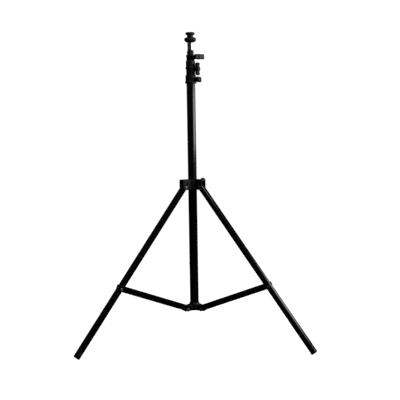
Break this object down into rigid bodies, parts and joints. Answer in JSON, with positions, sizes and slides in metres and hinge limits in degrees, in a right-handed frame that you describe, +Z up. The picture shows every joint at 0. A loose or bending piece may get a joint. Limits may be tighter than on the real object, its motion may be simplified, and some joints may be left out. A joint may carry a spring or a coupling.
{
  "type": "ring light stand",
  "caption": "Folding light stand with telescopic column, winged clamp collars, braced tripod legs and a threaded head with a flat plate.",
  "frame": {"origin": "on the floor under the middle of the footprint of the three feet", "axes": "+Z up along the column, +Y from the two front feet towards the rear foot, +X to the right seen from the front"},
  "size_m": [0.6498, 0.5653, 0.8803],
  "materials": {
    "tube_paint": "glossy black paint",
    "black_plastic": "black moulded plastic, slightly glossy",
    "stud_chrome": "bright chrome plate",
    "bright_steel": "bright zinc-plated steel",
    "brass": "plain turned brass",
    "nylon": "dark grey nylon",
    "foot_rubber": "matte black rubber"
  },
  "bodies": {
    "column": {"lower_hub": "black_plastic", "base_tube": "tube_paint", "lower_clamp_collar": "black_plastic", "lower_threaded_insert": "brass", "lower_pressure_shoe": "nylon", "right_hub_pin": "bright_steel", "rear_hub_pin": "bright_steel", "left_hub_pin": "bright_steel"},
    "second_section": {"second_tube": "tube_paint", "second_guide_plug": "nylon", "middle_clamp_collar": "black_plastic", "middle_threaded_insert": "brass", "middle_pressure_shoe": "nylon"},
    "third_section": {"third_tube": "tube_paint", "third_guide_plug": "nylon", "upper_clamp_collar": "black_plastic", "upper_threaded_insert": "brass", "upper_pressure_shoe": "nylon"},
    "top_section": {"top_tube": "tube_paint", "top_guide_plug": "nylon", "stud": "stud_chrome", "head_plate": "black_plastic"},
    "locking_ring": {"locking_ring": "black_plastic"},
    "lower_knob": {"lower_wing_knob": "black_plastic", "lower_knob_screw": "bright_steel"},
    "middle_knob": {"middle_wing_knob": "black_plastic", "middle_knob_screw": "bright_steel"},
    "upper_knob": {"upper_wing_knob": "black_plastic", "upper_knob_screw": "bright_steel"},
    "leg_slider": {"leg_collar": "black_plastic", "leg_collar_threaded_insert": "brass", "leg_collar_pressure_shoe": "nylon", "right_leg_pin": "bright_steel", "rear_leg_pin": "bright_steel", "left_leg_pin": "bright_steel"},
    "leg_collar_knob": {"leg_collar_wing_knob": "black_plastic", "leg_collar_knob_screw": "bright_steel"},
    "right_leg": {"right_leg_tube": "tube_paint", "right_leg_top_plug": "black_plastic", "right_brace_bush": "bright_steel", "right_rubber_foot": "foot_rubber"},
    "right_brace": {"right_brace_channel": "tube_paint", "right_brace_first_rivet": "bright_steel", "right_brace_second_rivet": "bright_steel"},
    "rear_leg": {"rear_leg_tube": "tube_paint", "rear_leg_top_plug": "black_plastic", "rear_brace_bush": "bright_steel", "rear_rubber_foot": "foot_rubber"},
    "rear_brace": {"rear_brace_channel": "tube_paint", "rear_brace_first_rivet": "bright_steel", "rear_brace_second_rivet": "bright_steel"},
    "left_leg": {"left_leg_tube": "tube_paint", "left_leg_top_plug": "black_plastic", "left_brace_bush": "bright_steel", "left_rubber_foot": "foot_rubber"},
    "left_brace": {"left_brace_channel": "tube_paint", "left_brace_first_rivet": "bright_steel", "left_brace_second_rivet": "bright_steel"}
  },
  "joints": [
    {"name": "leg_fold", "type": "slide", "parent": "column", "child": "leg_slider", "axis": [0, 0, 1], "range_m": [0, 0.21183]},
    {"name": "second_section_slide", "type": "slide", "parent": "column", "child": "second_section", "axis": [0, 0, 1], "range_m": [0, 0.56]},
    {"name": "third_section_slide", "type": "slide", "parent": "second_section", "child": "third_section", "axis": [0, 0, 1], "range_m": [0, 0.56]},
    {"name": "top_section_slide", "type": "slide", "parent": "third_section", "child": "top_section", "axis": [0, 0, 1], "range_m": [0, 0.56]},
    {"name": "locking_ring_turn", "type": "hinge", "parent": "top_section", "child": "locking_ring", "pos_m": [0, -0.09106, 0.86], "axis": [0, 0, 1], "continuous": true},
    {"name": "lower_knob_turn", "type": "hinge", "parent": "column", "child": "lower_knob", "pos_m": [0.01692, -0.09465, 0.7467], "axis": [0.9781, -0.2079, 0], "range_deg": [0, 50]},
    {"name": "middle_knob_turn", "type": "hinge", "parent": "second_section", "child": "middle_knob", "pos_m": [0.0149, -0.09966, 0.776], "axis": [0.866, -0.5, 0], "range_deg": [0, 180]},
    {"name": "upper_knob_turn", "type": "hinge", "parent": "third_section", "child": "upper_knob", "pos_m": [0.02015, -0.11121, 0.8093], "axis": [0.7071, -0.7071, 0], "range_deg": [0, 180]},
    {"name": "leg_collar_knob_turn", "type": "hinge", "parent": "leg_slider", "child": "leg_collar_knob", "pos_m": [0.02511, -0.07656, 0.44605], "axis": [0.866, 0.5, 0], "range_deg": [0, 180]},
    {"name": "right_leg_hinge", "type": "hinge", "parent": "leg_slider", "child": "right_leg", "pos_m": [0.02425, -0.10506, 0.44065], "axis": [0.5, 0.866, 0], "range_deg": [0, 37.89]},
    {"name": "right_brace_hinge", "type": "hinge", "parent": "column", "child": "right_brace", "pos_m": [0.02425, -0.10506, 0.0893], "axis": [-0.5, -0.866, 0], "range_deg": [0, 68.02]},
    {"name": "rear_leg_hinge", "type": "hinge", "parent": "leg_slider", "child": "rear_leg", "pos_m": [0, -0.06306, 0.44065], "axis": [-1, 0, 0], "range_deg": [0, 37.89]},
    {"name": "rear_brace_hinge", "type": "hinge", "parent": "column", "child": "rear_brace", "pos_m": [0, -0.06306, 0.0893], "axis": [1, 0, 0], "range_deg": [0, 68.02]},
    {"name": "left_leg_hinge", "type": "hinge", "parent": "leg_slider", "child": "left_leg", "pos_m": [-0.02425, -0.10506, 0.44065], "axis": [0.5, -0.866, 0], "range_deg": [0, 37.89]},
    {"name": "left_brace_hinge", "type": "hinge", "parent": "column", "child": "left_brace", "pos_m": [-0.02425, -0.10506, 0.0893], "axis": [-0.5, 0.866, 0], "range_deg": [0, 68.02]}
  ],
  "couplings": [
    {"joint": "right_leg_hinge", "follows": "leg_fold", "rad_per_m": 3.1219},
    {"joint": "right_brace_hinge", "follows": "leg_fold", "rad_per_m": 5.6045},
    {"joint": "rear_leg_hinge", "follows": "leg_fold", "rad_per_m": 3.1219},
    {"joint": "rear_brace_hinge", "follows": "leg_fold", "rad_per_m": 5.6045},
    {"joint": "left_leg_hinge", "follows": "leg_fold", "rad_per_m": 3.1219},
    {"joint": "left_brace_hinge", "follows": "leg_fold", "rad_per_m": 5.6045}
  ]
}
